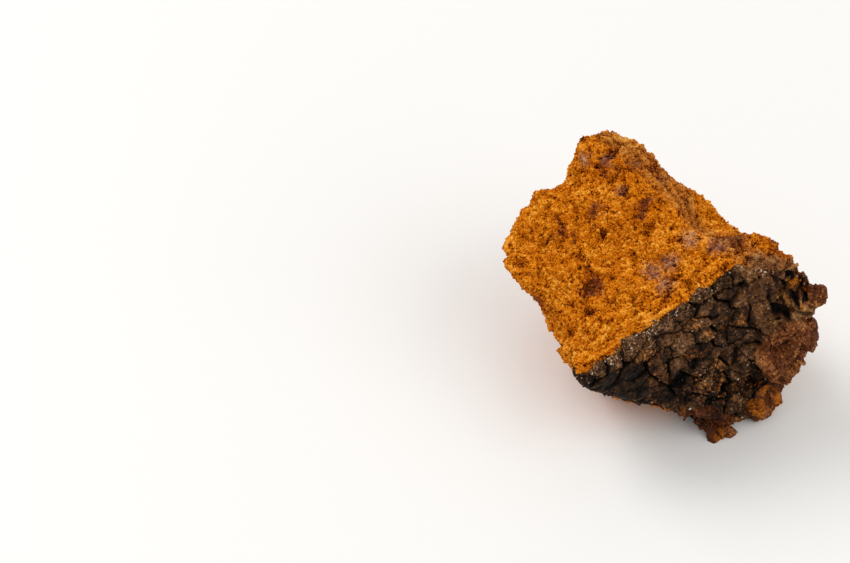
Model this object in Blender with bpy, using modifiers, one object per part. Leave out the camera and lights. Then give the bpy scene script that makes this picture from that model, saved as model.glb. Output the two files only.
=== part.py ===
"""A broken chunk of chaga (Inonotus obliquus), the black-crusted fungus that grows on birch trees.

The chunk grew as one piece, so it is one solid. Its tilted top is a broken face of corky orange flesh.
Its front was the outside of the fungus: a black crust, cracked into plates. At the right are lumps where
the crust has split away. It rests on a flat break. Metres, +Z up, and the crust faces -Y.
The origin is the centre of the bottom face of its bounding box.
"""

import random

import bmesh
import bpy
import numpy as np
from mathutils import Vector, kdtree, noise

MM = 0.001

# The corners of each broken block, in millimetres. The blocks overlap and grow together.
GROUND = -3.0
BLOCKS = {
    "flesh": (
        (-19.5, 25.0, 55.0), (-14.5, 26.5, 57.0), (-6.0, 20.0, 56.3), (4.5, 6.0, 52.5),
        (12.0, -4.0, 49.5), (-28.5, 12.5, 47.0), (-34.5, 8.0, 43.5), (-40.0, 1.0, 39.0),
        (-34.8, -3.8, 37.6), (-26.8, -12.3, 34.7), (-22.3, -21.8, 32.6), (-21.0, -34.0, 27.5),
        (-16.0, -27.8, 32.0), (-2.0, -23.3, 37.8), (15.0, -13.0, 46.8), (-21.0, -33.5, 25.0),
        (-16.5, -32.3, 21.8), (-6.0, -30.0, 17.5), (2.0, -28.3, 12.0), (23.0, -19.5, 16.0),
        (23.0, -17.0, 30.0), (28.0, -11.5, 42.0), (30.0, 5.0, 30.0), (9.0, 21.0, 28.0),
        (-27.0, 10.0, 28.0), (24.0, -20.0, GROUND), (30.0, 14.0, GROUND), (8.0, 34.5, GROUND),
        (-18.0, 26.5, GROUND), (-20.0, 7.0, GROUND), (-9.0, -11.0, GROUND),
    ),
    "shoulder": (
        (11.5, -8.0, 48.0), (19.0, -4.5, 50.0), (26.0, -5.5, 47.8), (31.0, -8.5, 43.5),
        (32.0, -10.0, 39.0), (15.0, -13.5, 46.3), (28.0, -13.0, 44.0), (12.0, 0.0, 42.0),
        (12.0, -12.0, 38.0), (24.0, -4.0, 26.0),
    ),
    "nub": (
        (31.5, -11.0, 42.5), (34.5, -12.0, 41.0), (39.0, -12.5, 38.0), (38.5, -14.0, 35.0),
        (35.5, -17.0, 32.0), (30.5, -15.0, 32.0), (24.0, -9.0, 38.0), (24.0, -10.0, 30.0),
        (34.0, -7.0, 33.0),
    ),
    "red lobe": (
        (24.0, -18.0, 30.0), (24.0, -21.0, 17.5), (27.5, -21.0, 13.0), (33.0, -17.5, 12.0),
        (36.5, -15.0, 18.5), (36.5, -14.5, 27.0), (33.0, -14.5, 32.0), (28.5, -1.0, 28.0),
        (28.0, -1.0, 12.0), (20.0, -5.0, 28.0), (20.0, -8.0, 12.0),
    ),
    "lower lobe": (
        (19.5, -23.5, 9.5), (25.0, -22.5, 12.5), (32.0, -16.0, 12.5), (30.6, -16.6, 6.3),
        (29.3, -18.8, 3.0), (27.0, -17.0, GROUND), (19.0, -20.0, GROUND), (23.3, -22.0, 3.0),
        (26.0, -1.0, 12.0), (26.0, 1.0, GROUND), (18.0, -6.0, 12.0), (16.0, -6.0, GROUND),
    ),
    "foot": (
        (5.0, -28.4, 12.5), (8.8, -27.9, 7.3), (11.6, -28.8, 1.5), (14.2, -28.8, GROUND),
        (16.8, -26.6, GROUND), (17.2, -26.5, 1.8), (22.2, -24.3, 4.4), (22.0, -24.5, 8.5),
        (17.0, -25.0, 13.5), (6.0, -14.0, GROUND), (4.0, -14.0, 12.0), (20.0, -14.0, 6.0),
    ),
}

# Where the outline or a face sinks in: a place, how far the hollow reaches and how deep it is.
HOLLOWS = (
    ((-25.5, 17.0, 49.8), 8.5, 4.0),
    ((11.0, 1.5, 50.0), 9.0, 4.5),
    ((-29.5, -15.5, 32.0), 13.0, 4.5),
    ((-24.0, -24.5, 30.0), 9.0, 2.6),
    ((-8.0, -6.0, 43.0), 9.0, 0.9),
    ((-17.0, 14.0, 50.0), 7.0, 0.8),
    ((5.5, -27.0, 20.0), 4.5, 2.4),
    ((-1.0, -29.5, 13.5), 7.5, 2.6),
    ((23.0, -22.5, 4.5), 2.5, 1.6),
    ((34.5, -15.0, 30.5), 2.5, 1.2),
    ((6.0, 28.0, 30.0), 11.0, 2.5),
    ((32.0, 0.0, 20.0), 8.0, 1.8),
    ((-30.0, -2.0, 24.0), 10.0, 2.0),
)

# The crust lies close to one plane. ALONG runs up its top edge to the right, DOWN runs down its face.
# To the right of the bend the edge turns down. Sizes of waves are pairs: how long and how high.
EDGE_POINT = Vector((-1.8, -23.2, 38.0))
ALONG = Vector((0.825, 0.400, 0.400)).normalized()
OUT = Vector((0.323, -0.914, 0.244)).normalized()
DOWN = ALONG.cross(OUT).normalized()
BEND_AT, BEND_SLOPE = 22.0, 0.82
EDGE_WAVES = ((4.0, 0.8),)
EDGE_WIDTH, BACK_EDGE_WIDTH, CRUST_REACH_BACK = 1.2, 2.0, 9.0

# Cracks part the crust into plates, in rows along its top edge.
PLATE_SIZE = Vector((8.2, 5.6, 9.0))
PLATE_ROWS = (range(-5, 7), range(-3, 10), range(-4, 3))
ROW_SHIFT, PLATE_JITTER = 0.41, 0.36
CRACK_HALF_WIDTH, CRACK_DEPTH = 0.85, 1.6
WIDTH_WAVES, FAINTEST_CRACK, CRACK_MIX = ((7.0, 0.5),), 0.25, 2.3
# The cracks fade out between these two heights, so that the chunk's foot is whole.
FOOTING = (0.5, 3.0)
CRACK_WANDER = ((5.0, 0.9), (1.7, 0.35))
PLATE_LEVEL = 0.4

# Smooth brown breaks in the crust, with no plates: centre and reach.
BARE_LOBES = (((31.5, -16.0, 21.0), 9.5), ((28.0, -18.0, 6.0), 7.5))

VOXEL, ROUNDING, FINE_VOXEL = 0.6, 7, 0.5
FLESH_WAVES = ((14.0, 0.9), (6.0, 0.8), (3.0, 0.45))
CRUST_WAVES = ((9.0, 0.7), (3.2, 0.5))
TRIANGLES = 10500
SEED = 23
FLESH_COLOUR, ROUGHNESS = (0.42, 0.14, 0.012, 1.0), 0.95


def clear_scene():
    for obj in list(bpy.data.objects):
        bpy.data.objects.remove(obj)


def smooth_step(low, high, value):
    t = min(1.0, max(0.0, (value - low) / (high - low)))
    return t * t * (3.0 - 2.0 * t)


def add_block(bm, corners):
    """A convex block: the tightest skin round its corners, in millimetres."""
    made = [bm.verts.new(corner) for corner in corners]
    bmesh.ops.convex_hull(bm, input=made)
    bmesh.ops.delete(bm, geom=[v for v in made if v.is_valid and not v.link_faces], context="VERTS")


def evaluated_copy(obj):
    """Replaces the object's mesh with what its modifiers make of it."""
    depsgraph = bpy.context.evaluated_depsgraph_get()
    mesh = bpy.data.meshes.new_from_object(obj.evaluated_get(depsgraph))
    obj.modifiers.clear()
    obj.data = mesh


def corner_normals(mesh):
    """The direction in which the surface faces at each vertex."""
    places = np.array([v.co[:] for v in mesh.vertices])
    quads = np.array([f.vertices[:] for f in mesh.polygons])
    across = places[quads[:, 2]] - places[quads[:, 0]]
    along = places[quads[:, 3]] - places[quads[:, 1]]
    normals = np.zeros_like(places)
    for corner in range(4):
        np.add.at(normals, quads[:, corner], np.cross(across, along))
    return normals / np.linalg.norm(normals, axis=1, keepdims=True)


def crust_place(point):
    """The point's place on the crust: along its edge, down its face and out of it."""
    offset = point - EDGE_POINT
    return Vector((offset.dot(ALONG), offset.dot(DOWN), offset.dot(OUT)))


def plate_tree(chooser):
    """The middles of the plates, in units of a plate's size, each row shifted like brickwork."""
    middles = []
    for row in PLATE_ROWS[1]:
        for column in PLATE_ROWS[0]:
            for layer in PLATE_ROWS[2]:
                shifts = [chooser.uniform(-PLATE_JITTER, PLATE_JITTER) for _ in range(3)]
                middles.append(Vector((column + ROW_SHIFT * row, row, layer)) + Vector(shifts))
    tree = kdtree.KDTree(len(middles))
    for index, middle in enumerate(middles):
        tree.insert(middle, index)
    tree.balance()
    return tree


def nearest_crack(tree, place):
    """The distance to the nearest crack, how deep that crack is, and the number of the plate."""
    scaled = Vector([place[i] / PLATE_SIZE[i] for i in range(3)])
    (first, plate, near), (second, _, far) = tree.find_n(scaled, 2)
    across = (second - first).normalized()
    to_middle = (far * far - near * near) / (2.0 * (second - first).length)
    slope = Vector([across[i] / PLATE_SIZE[i] for i in range(3)]).length
    strength = smooth_step(-0.35, 0.25, noise.noise((first + second) * CRACK_MIX))
    return to_middle / slope, CRACK_DEPTH * (FAINTEST_CRACK + (1.0 - FAINTEST_CRACK) * strength), plate


def crust_share(point, place):
    """1 on the crust, 0 on the flesh, with a narrow change between them."""
    edge = max(0.0, (place.x - BEND_AT) * BEND_SLOPE) + waves(point, EDGE_WAVES)
    share = smooth_step(0.0, EDGE_WIDTH, place.y - edge)
    share *= smooth_step(0.0, BACK_EDGE_WIDTH, place.z + CRUST_REACH_BACK + BACK_EDGE_WIDTH)
    for centre, reach in BARE_LOBES:
        share *= smooth_step(reach - EDGE_WIDTH, reach, (point - Vector(centre)).length)
    return share


def waves(point, sizes):
    return sum(height * noise.noise(point / size + Vector((size, 0.0, 0.0))) for size, height in sizes)


def wander(point):
    """A small sideways shift, so that no crack runs straight."""
    return Vector([waves(point + Vector((0.0, 40.0 * axis, 0.0)), CRACK_WANDER) for axis in range(3)])


def relief(point, tree, levels):
    """How far the surface stands out at a point, in millimetres."""
    place = crust_place(point)
    share = crust_share(point, place)
    height = (1.0 - share) * waves(point, FLESH_WAVES)
    if share > 0.0:
        distance, depth, plate = nearest_crack(tree, place + wander(point))
        width = CRACK_HALF_WIDTH + waves(point, WIDTH_WAVES)
        groove = depth * (1.0 - smooth_step(0.0, width, distance)) * smooth_step(*FOOTING, point.z)
        height += share * (waves(point, CRUST_WAVES) + levels[plate] - groove)
    return height


def hollow_shifts(places, normals):
    """How far each vertex moves in hollows. A hollow sinks along the mean direction that its place faces."""
    shifts = np.zeros_like(places)
    for centre, reach, depth in HOLLOWS:
        t = np.clip(1.0 - np.linalg.norm(places - np.array(centre), axis=1) / reach, 0.0, 1.0)
        shares = (t * t * (3.0 - 2.0 * t))[:, None]
        facing = (normals * shares).sum(axis=0)
        shifts -= depth * shares * facing / np.linalg.norm(facing)
    return shifts


def make_chunk():
    """Blocks grown together, rounded, given their relief, and cut flat where the chunk rests.

    The second remesh closes the folds that deep relief leaves at sharp edges.
    """
    bm = bmesh.new()
    for corners in BLOCKS.values():
        add_block(bm, corners)
    mesh = bpy.data.meshes.new("chaga_chunk")
    bm.to_mesh(mesh)
    bm.free()
    obj = bpy.data.objects.new("chaga_chunk", mesh)
    collection = bpy.data.collections.new("chaga_mushroom_chunk")
    bpy.context.scene.collection.children.link(collection)
    collection.objects.link(obj)

    remesh = obj.modifiers.new("grow together", "REMESH")
    remesh.mode, remesh.voxel_size = "VOXEL", VOXEL
    rounding = obj.modifiers.new("worn edges", "SMOOTH")
    rounding.factor, rounding.iterations = 0.5, ROUNDING
    evaluated_copy(obj)

    chooser = random.Random(SEED)
    tree = plate_tree(chooser)
    plates = len(PLATE_ROWS[0]) * len(PLATE_ROWS[1]) * len(PLATE_ROWS[2])
    levels = [chooser.uniform(-PLATE_LEVEL, PLATE_LEVEL) for _ in range(plates)]
    places = np.array([v.co[:] for v in obj.data.vertices])
    normals = corner_normals(obj.data)
    for vertex, normal, shift in zip(obj.data.vertices, normals, hollow_shifts(places, normals)):
        vertex.co += Vector(normal) * relief(vertex.co.copy(), tree, levels) + Vector(shift)

    heal = obj.modifiers.new("no folds", "REMESH")
    heal.mode, heal.voxel_size = "VOXEL", FINE_VOXEL
    evaluated_copy(obj)
    thin = obj.modifiers.new("fewer faces", "DECIMATE")
    thin.ratio = TRIANGLES / (2.0 * len(obj.data.polygons))
    evaluated_copy(obj)
    cut_flat(obj.data)
    return obj


def cut_flat(mesh):
    """Cuts the chunk flat at height 0, moves it to the origin and turns millimetres to metres."""
    bm = bmesh.new()
    bm.from_mesh(mesh)
    everything = bm.verts[:] + bm.edges[:] + bm.faces[:]
    bmesh.ops.bisect_plane(bm, geom=everything, dist=0.02, plane_co=(0, 0, 0), plane_no=(0, 0, -1),
                           clear_outer=True)
    bmesh.ops.holes_fill(bm, edges=[e for e in bm.edges if e.is_boundary])
    bmesh.ops.dissolve_degenerate(bm, dist=0.02, edges=bm.edges[:])
    bmesh.ops.triangulate(bm, faces=bm.faces[:])
    low = Vector([min(v.co[i] for v in bm.verts) for i in range(3)])
    high = Vector([max(v.co[i] for v in bm.verts) for i in range(3)])
    middle = Vector(((low.x + high.x) / 2.0, (low.y + high.y) / 2.0, 0.0))
    for v in bm.verts:
        v.co = (v.co - middle) * MM
    bmesh.ops.recalc_face_normals(bm, faces=bm.faces[:])
    bm.to_mesh(mesh)
    bm.free()
    print("chunk", [round(s, 1) for s in high - low], "mm, shifted by", [round(s, 2) for s in middle],
          "with", len(mesh.polygons), "triangles")


def make_material():
    material = bpy.data.materials.new("corky orange flesh")
    material.use_nodes = True
    shader = material.node_tree.nodes["Principled BSDF"]
    shader.inputs["Base Color"].default_value = FLESH_COLOUR
    shader.inputs["Roughness"].default_value = ROUGHNESS
    shader.inputs["Metallic"].default_value = 0.0
    return material


clear_scene()
chunk = make_chunk()
chunk.data.materials.append(make_material())
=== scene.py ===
# %% [markdown]
# # A broken chunk of chaga
# Chaga is a fungus that grows on birch trees as a black, cracked lump. Inside it is orange and corky.
# This lesson dresses one broken chunk of it: a tilted orange break on top, a black crust in front.
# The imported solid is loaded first. It fixes the size and the place, and it is never changed.

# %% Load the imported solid
import math
import random

import bpy
import numpy as np
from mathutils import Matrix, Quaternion, Vector, kdtree, noise


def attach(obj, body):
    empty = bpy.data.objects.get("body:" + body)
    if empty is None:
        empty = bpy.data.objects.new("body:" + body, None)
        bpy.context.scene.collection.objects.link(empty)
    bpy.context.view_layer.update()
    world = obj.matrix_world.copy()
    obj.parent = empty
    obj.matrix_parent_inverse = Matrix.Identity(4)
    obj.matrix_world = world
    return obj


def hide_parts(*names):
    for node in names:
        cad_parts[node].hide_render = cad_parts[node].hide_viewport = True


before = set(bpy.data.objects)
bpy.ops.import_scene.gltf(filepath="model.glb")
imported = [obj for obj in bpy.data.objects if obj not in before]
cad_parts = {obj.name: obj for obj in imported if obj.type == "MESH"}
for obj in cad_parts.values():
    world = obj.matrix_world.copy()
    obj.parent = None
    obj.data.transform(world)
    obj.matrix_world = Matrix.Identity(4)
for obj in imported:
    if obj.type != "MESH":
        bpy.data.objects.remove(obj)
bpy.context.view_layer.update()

# %% [markdown]
# ## Working in millimetres
# The chunk is only 77 mm long, and Blender's tools think in metres. So each piece is modelled with one
# unit to a millimetre, and shrunk at the end. Operators act on what is selected, so each step
# first selects only its own object.

# %% Link, select, modify, copy, edit and cut an object
MM = 0.001


def link(name, data):
    """A new object with this data, in the scene."""
    obj = bpy.data.objects.new(name, data)
    bpy.context.scene.collection.objects.link(obj)
    return obj


def only(obj):
    """Selects this object alone and makes it the active one."""
    bpy.ops.object.select_all(action="DESELECT")
    obj.select_set(True)
    bpy.context.view_layer.objects.active = obj


def modify(obj, kind, **settings):
    """Adds a modifier with these settings and applies it at once."""
    only(obj)
    modifier = obj.modifiers.new(kind.lower(), kind)
    for name, value in settings.items():
        setattr(modifier, name, value)
    bpy.ops.object.modifier_apply(modifier=modifier.name)


def duplicate(obj, name):
    """A copy of the object, with its own mesh."""
    only(obj)
    bpy.ops.object.duplicate()
    bpy.context.active_object.name = name
    return bpy.context.active_object


def edit(obj, operator, **settings):
    """Runs one operator of edit mode on the whole mesh."""
    only(obj)
    bpy.ops.object.mode_set(mode="EDIT")
    bpy.ops.mesh.select_all(action="SELECT")
    operator(**settings)
    bpy.ops.object.mode_set(mode="OBJECT")


def slice_off(obj, point, direction):
    """Cuts off what lies beyond this point in this direction, and closes the cut."""
    edit(obj, bpy.ops.mesh.bisect, plane_co=point, plane_no=direction, use_fill=True, clear_outer=True)


print("one unit stands for", MM, "m")

# %% [markdown]
# ## The rough chunk
# A chunk knocked off with an axe is a few flat breaks that meet at blunt corners. Sculpted from a ball,
# they would be hard to keep flat. Here each lump is given as its corner points. Those near the
# table go a little below it, to be cut off later.

# %% The corners of each lump, in millimetres
GROUND = -3
LUMPS = {
    "flesh": (
        (-19.5, 25, 55), (-14.5, 26.5, 57), (-6, 20, 56.3), (4.5, 6, 52.5), (12, -4, 49.5),
        (-28.5, 12.5, 47), (-34.5, 8, 43.5), (-40, 1, 39), (-34.8, -3.8, 37.6), (-26.8, -12.3, 34.7),
        (-22.3, -21.8, 32.6), (-21, -34, 27.5), (-16, -27.8, 32), (-2, -23.3, 37.8), (15, -13, 46.8),
        (-21, -33.5, 25), (-16.5, -32.3, 21.8), (-6, -30, 17.5), (2, -28.3, 12), (23, -19.5, 16),
        (23, -17, 30), (28, -11.5, 42), (30, 5, 30), (9, 21, 28), (-27, 10, 28), (24, -20, GROUND),
        (30, 14, GROUND), (8, 34.5, GROUND), (-18, 26.5, GROUND), (-20, 7, GROUND), (-9, -11, GROUND),
    ),
    "shoulder": (
        (11.5, -8, 48), (19, -4.5, 50), (26, -5.5, 47.8), (31, -8.5, 43.5), (32, -10, 39),
        (15, -13.5, 46.3), (28, -13, 44), (12, 0, 42), (12, -12, 38), (24, -4, 26),
    ),
    "nub": (
        (31.5, -11, 42.5), (34.5, -12, 41), (39, -12.5, 38), (38.5, -14, 35), (35.5, -17, 32),
        (30.5, -15, 32), (24, -9, 38), (24, -10, 30), (34, -7, 33),
    ),
    "red lobe": (
        (24, -18, 30), (24, -21, 17.5), (27.5, -21, 13), (33, -17.5, 12), (36.5, -15, 18.5),
        (36.5, -14.5, 27), (33, -14.5, 32), (28.5, -1, 28), (28, -1, 12), (20, -5, 28), (20, -8, 12),
    ),
    "lower lobe": (
        (19.5, -23.5, 9.5), (25, -22.5, 12.5), (32, -16, 12.5), (30.6, -16.6, 6.3), (29.3, -18.8, 3),
        (27, -17, GROUND), (19, -20, GROUND), (23.3, -22, 3), (26, -1, 12), (26, 1, GROUND), (18, -6, 12),
        (16, -6, GROUND),
    ),
    "foot": (
        (5, -28.4, 12.5), (8.8, -27.9, 7.3), (11.6, -28.8, 1.5), (14.2, -28.8, GROUND),
        (16.8, -26.6, GROUND), (17.2, -26.5, 1.8), (22.2, -24.3, 4.4), (22, -24.5, 8.5), (17, -25, 13.5),
        (6, -14, GROUND), (4, -14, 12), (20, -14, 6),
    ),
}
print("corners:", {name: len(corners) for name, corners in LUMPS.items()})

# %% [markdown]
# ## Growing the lumps together
# The Convex Hull operator wraps each lump's points like a parcel. The Remesh modifier in voxel mode then
# fills the lumps with small cubes and draws one new skin round the lot, which is quicker and safer than
# five Booleans. A little smoothing wears the sharp corners.

# %% A skin round each lump, and one round them all
ROUGH_VOXEL, ROUNDING = 0.6, 7

lumps = []
for name, corners in LUMPS.items():
    mesh = bpy.data.meshes.new(name)
    mesh.from_pydata(corners, [], [])
    lumps.append(link(name, mesh))
    edit(lumps[-1], bpy.ops.mesh.convex_hull)
only(lumps[0])
for obj in lumps[1:]:
    obj.select_set(True)
bpy.ops.object.join()
rough = bpy.context.active_object
rough.name = "rough_chunk"
modify(rough, "REMESH", mode="VOXEL", voxel_size=ROUGH_VOXEL)
modify(rough, "SMOOTH", factor=0.5, iterations=ROUNDING)
print("rough chunk:", len(rough.data.vertices), "points")

# %% [markdown]
# ## Soft ramps and waves
# Hardly anything natural begins at a sharp line: a crack fades out, and crust thins to flesh. A straight
# ramp would crease at both ends, so a soft one starts and ends level. Nor is anything flat: waves, which
# are noises of several sizes on each other, give rounded lumps.

# %% A soft ramp, waves, and how near a place is
def ramp(low, high, value):
    """0 at low, 1 at high, and a soft step between them. Low may be the larger number."""
    t = min(1.0, max(0.0, (value - low) / (high - low)))
    return t * t * (3.0 - 2.0 * t)


def waves(point, sizes):
    """The height of waves: pairs of how long and how high they are, in millimetres."""
    return sum(height * noise.noise(point / size + Vector((size, 0.0, 0.0))) for size, height in sizes)


def nearness(point, places):
    """1 at any of these places, fading to 0 at its reach. A place is x, y, z and reach."""
    return max(1.0 - ramp(0.0, reach, (point - Vector(centre)).length) for *centre, reach in places)


print("a ramp at a quarter:", ramp(0.0, 1.0, 0.25))

# %% [markdown]
# ## Where the crust is
# The crust was the outside of the fungus. It lies close to one plane at the front and wraps round the
# right side. Three directions describe it: along its top edge, down its face, and out of it. Both edges
# waver, because crust never ends straight.

# %% The crust's directions, and how far from its edges a point is
EDGE_POINT = Vector((-1.8, -23.2, 38.0))
ALONG = Vector((0.825, 0.400, 0.400)).normalized()
OUT = Vector((0.323, -0.914, 0.244)).normalized()
DOWN = ALONG.cross(OUT).normalized()
BEND_AT, BEND_SLOPE = 22.0, 0.82  # beyond here the top edge turns down, this steeply
EDGE_WAVES = ((4.0, 0.8),)
CRUST_REACH_BACK, BACK_LAP = 9.0, 2.0  # where it ends behind its front, and how far it laps
BACK_WAVES, BACK_WAVES_MEAN = ((5.0, 3.4), (1.8, 0.8)), 1.6


def crust_place(point):
    """A point's place along, down and out of the crust, and how far it is from its top and back edge."""
    offset = point - EDGE_POINT
    place = Vector((offset.dot(ALONG), offset.dot(DOWN), offset.dot(OUT)))
    down = place.y - max(0.0, (place.x - BEND_AT) * BEND_SLOPE) - waves(point, EDGE_WAVES)
    in_front = place.z + CRUST_REACH_BACK + BACK_LAP - max(0.0, BACK_WAVES_MEAN + waves(point, BACK_WAVES))
    return place, down, in_front


print("the crust faces", [round(v, 2) for v in OUT])

# %% [markdown]
# ## Plates
# As the crust dries it shrinks and cracks into plates. A picture of cracks would turn soft close up, so
# the cracks are real. Every plate has a seed point, and the surface belongs to its nearest seed. In front,
# each seed is listed one by one. Plates of one block keep together, with only hair cracks between them.

# %% Seeds listed one by one, block by block: along the crust's edge and down from it, in millimetres
BLOCKS_OF_PLATES = (
    ((-19.6, 0.4), (-22.8, 1.8)), ((-15.1, 1.3), (-19.7, 5.2)),
    ((-10.3, 2), (-6.7, 4.6), (-7.1, 13.5), (-4.6, 8.9), (-2.8, 5.6), (0.4, 2.8), (1.1, 10), (7, 11.6),
     (7.3, 7.5), (5.8, 2.7)),
    ((-13, 8), (-16.7, 10.1), (-13.5, 12.5), (-10.6, 14.1), (-13.1, 16.5), (-15.9, 14.5)),
    ((-2.6, 14.3), (2.4, 14.2), (5.5, 16.2), (7.5, 18.2), (3, 20), (5.5, 22.8)),
    ((11.6, 0.6), (10.6, 4.9), (13.4, 6.7)),
    ((17.7, 2.4), (22.5, 2.9), (16.4, 5.5), (19.8, 8.3), (23.8, 9.6)), ((13, 10.9), (17.2, 14.1)),
    ((20.9, 15.2), (21.1, 19.1)), ((10.4, 15.7), (13.3, 16.4), (16.2, 20.2)), ((9.7, 21.7), (13.1, 23.4)),
    ((11, 28.1),), ((0.6, 25.1), (3, 28.3), (-4.5, 22.7)), ((6.6, 33.5),),
    ((-3.9, 27), (-7.5, 25.7), (-9.5, 23), (-0.2, 30.4)),
)
PLATE_SIZE = Vector((8.2, 5.6, 9.0))

seeds, blocks = [], []
for block, plates in enumerate(BLOCKS_OF_PLATES):
    for along, down in plates:
        seeds.append(Vector((along / PLATE_SIZE.x, down / PLATE_SIZE.y, 0.0)))
        blocks.append(block)
placed = list(seeds)
print("plates placed by eye:", len(placed), "in", len(BLOCKS_OF_PLATES), "blocks")

# %% [markdown]
# ## Plates out of sight
# Nobody can say where the cracks run round the side. There the seeds stand in rows like bricks, each
# pushed a random way. The chooser starts from a fixed number, so every run gives the same plates. Each
# plate also gets a level and a tilt.

# %% Random seeds for the rest
PLATE_ROWS = (range(-5, 7), range(-3, 10), range(-4, 3))
ROW_SHIFT, PLATE_JITTER, RANDOM_BLOCKS = 0.41, 0.36, 4
LEAST_GAP = 0.95  # from a listed seed, in plates
PLATE_LEVEL, CHOOSER_START = 0.4, 23

chooser = random.Random(CHOOSER_START)
for row in PLATE_ROWS[1]:
    for column in PLATE_ROWS[0]:
        for layer in PLATE_ROWS[2]:
            shifts = [chooser.uniform(-PLATE_JITTER, PLATE_JITTER) for _ in range(3)]
            seed = Vector((column + ROW_SHIFT * row, row, layer)) + Vector(shifts)
            if min((seed - other).length for other in placed) > LEAST_GAP:
                seeds.append(seed)
                blocks.append(-1 - chooser.randrange(RANDOM_BLOCKS))
levels = [chooser.uniform(-PLATE_LEVEL, PLATE_LEVEL) for _ in seeds]
tilts = [Vector((chooser.uniform(-1.0, 1.0), chooser.uniform(-1.0, 1.0), 0.0)) for _ in seeds]
print("random plates:", len(seeds) - len(placed))

# %% [markdown]
# ## How far it is to a crack
# A crack runs where two seeds are equally near, and a KD tree finds the two nearest fast. Half the
# difference of their squared distances, over the gap between them, is the way to the line midway. The
# point is first moved a little by waves, because no real crack is straight.

# %% The distance to the nearest crack
HAIR_CRACK = 0.5  # how strong a crack is inside a block of plates
CRACK_WANDER, WANDER_APART = ((4.0, 0.6), (1.5, 0.4)), 40.0


def tree_of(places):
    """A tree that finds the nearest of these places."""
    tree = kdtree.KDTree(len(places))
    for index, place in enumerate(places):
        tree.insert(place, index)
    tree.balance()
    return tree


def wander(point):
    """A small sideways shift."""
    starts = [point + Vector((0.0, WANDER_APART * axis, 0.0)) for axis in range(3)]
    return Vector([waves(start, CRACK_WANDER) for start in starts])


def in_plates(place):
    """A place on the crust, measured in plates instead of millimetres."""
    return Vector([place[i] / PLATE_SIZE[i] for i in range(3)])


def nearest_crack(place):
    """The distance to the nearest crack, how strong that crack is, and the number of the plate."""
    (first, plate, close), (second, other, far) = plate_tree.find_n(in_plates(place), 2)
    across = (second - first).normalized()
    to_middle = (far * far - close * close) / (2.0 * (second - first).length)
    strength = HAIR_CRACK if blocks[plate] == blocks[other] else 1.0
    return to_middle / in_plates(across).length, strength, plate


plate_tree = tree_of(seeds)
print("from the middle to a crack:", round(nearest_crack(Vector((0.0, 8.0, 0.0)))[0], 1), "mm")

# %% [markdown]
# ## Reading a mesh all at once
# Python is slow at asking a mesh for one point at a time. The foreach_get call copies all of them into one
# long row of numbers, and numpy works on the whole row.

# %% All points of a mesh, and the way the surface faces at each
def numbers_of(items, name, each, kind=float):
    """What all items of a mesh say under this name: a row for each, with so many numbers."""
    row = np.zeros(len(items) * each, dtype=kind)
    items.foreach_get(name, row)
    return row.reshape(-1, each)


def corners_of(mesh):
    """The places of all the mesh's points."""
    return numbers_of(mesh.vertices, "co", 3)


def corner_normals(mesh):
    """The direction in which the surface faces at each point, for a mesh of four-sided faces."""
    places = corners_of(mesh)
    quads = np.array([f.vertices[:] for f in mesh.polygons])
    across = places[quads[:, 2]] - places[quads[:, 0]]
    along = places[quads[:, 3]] - places[quads[:, 1]]
    normals = np.zeros_like(places)
    for corner in range(4):
        np.add.at(normals, quads[:, corner], np.cross(across, along))
    return normals / np.linalg.norm(normals, axis=1, keepdims=True)


print("rough height:", round(np.ptp(corners_of(rough.data)[:, 2]), 1), "mm")

# %% [markdown]
# ## Hollows
# A few places sink in, where a bit broke off. By hand they would be pulled in with proportional editing. A
# soft ball of influence does the same in code: all points in it move one way. Flesh and crust share the
# hollows, so that the two still meet.

# %% Hollows: x, y, z, how far it reaches and how deep it is
HOLLOWS = (
    (-25.5, 17, 49.8, 8.5, 4), (11, 1.5, 50, 9, 4.5), (-29.5, -15.5, 32, 13, 4.5), (-24, -24.5, 30, 9, 2.6),
    (-8, -6, 43, 9, 0.9), (-17, 14, 50, 7, 0.8), (5.5, -27, 20, 4.5, 2.4), (-1, -29.5, 13.5, 7.5, 2.6),
    (23, -22.5, 4.5, 2.5, 1.6), (34.5, -15, 30.5, 2.5, 1.2), (6, 28, 30, 11, 2.5), (32, 0, 20, 8, 1.8),
    (-30, -2, 24, 10, 2), (-14.5, 26.5, 57.5, 6, 1.8), (26, 12, 12, 6.5, 1.7), (18, 17, 26, 7, 1.9),
    (13, 24, 11, 6, 1.5), (8, 17.5, 40.5, 6, 1.6), (-8, 29, 38, 7.5, 2), (-4, 31, 15, 7, 1.7),
    (-18, 26, 23, 6.5, 1.6), (-23.5, 19.5, 35, 6, 1.5), (-26, 17.5, 14, 7, 1.9), (-33, 9, 30, 6, 1.5),
    (-28, 7, 16, 6, 1.5), (-24, -7, 12, 6, 1.5), (30, 1, 33, 6, 1.4),
)


def shares_near(places, hollow):
    """How much of a hollow's depth each of these places gets, from 0 to 1."""
    *centre, reach, depth = hollow
    t = np.clip(1.0 - np.linalg.norm(places - np.array(centre), axis=1) / reach, 0.0, 1.0)
    return (t * t * (3.0 - 2.0 * t))[:, None]


places, normals = corners_of(rough.data), corner_normals(rough.data)
facing = [(normals * shares_near(places, hollow)).sum(axis=0) for hollow in HOLLOWS]
hollow_ways = [way / np.linalg.norm(way) for way in facing]  # the way the surface round each one faces
print("hollows:", len(hollow_ways))

# %% [markdown]
# ## Moving a surface in and out
# Sculpting by hand pushes each point the way its surface faces. A function can do the same: it gives each
# point a height. It also gives it values to remember, such as how deep in a pit it is, which the materials
# read later.

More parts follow.
